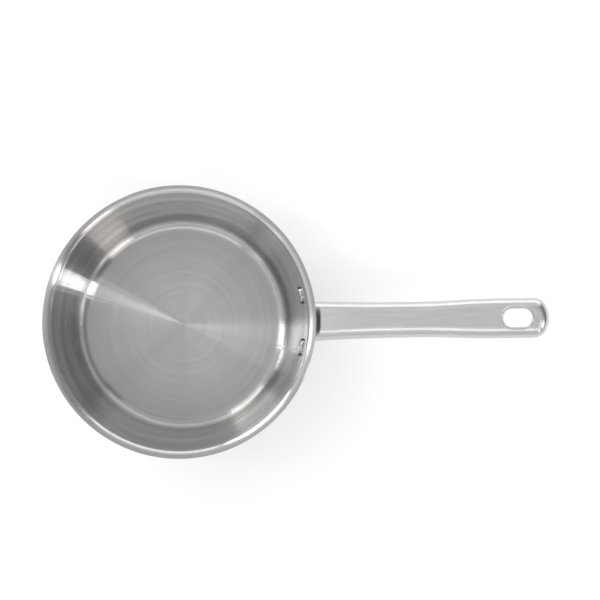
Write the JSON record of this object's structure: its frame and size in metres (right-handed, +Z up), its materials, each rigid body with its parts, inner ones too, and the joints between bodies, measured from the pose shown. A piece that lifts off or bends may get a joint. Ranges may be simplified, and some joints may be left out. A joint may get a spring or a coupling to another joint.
{
  "type": "saucier pan",
  "caption": "Clad steel saucier pan with curved walls, a flared rim, a brushed inside, riveted bracket and a hollow waisted handle with a hanging slot.",
  "frame": {"origin": "centre of the base's underside, on the bowl's axis", "axes": "+X runs out along the handle, +Z up out of the bowl; the pan is mirror symmetric across the plane y = 0"},
  "size_m": [0.3833, 0.208, 0.09],
  "materials": {
    "brushed_inside": "circular brushed, fine turning rings",
    "polished_outside": "polished, with fine circular brushing",
    "core": "matt rolled sheet, seen only at the cut edge",
    "handle_steel": "brushed along the handle's length",
    "bracket_steel": "satin",
    "polished_rivet": "polished"
  },
  "bodies": {
    "root": {"inner_skin": "brushed_inside", "aluminium_core": "core", "outer_skin": "polished_outside", "handle_bracket": "bracket_steel", "handle_upper_shell": "handle_steel", "handle_lower_shell": "handle_steel", "slot_ferrule": "bracket_steel", "rivet_left": "polished_rivet", "rivet_right": "polished_rivet"}
  },
  "joints": []
}
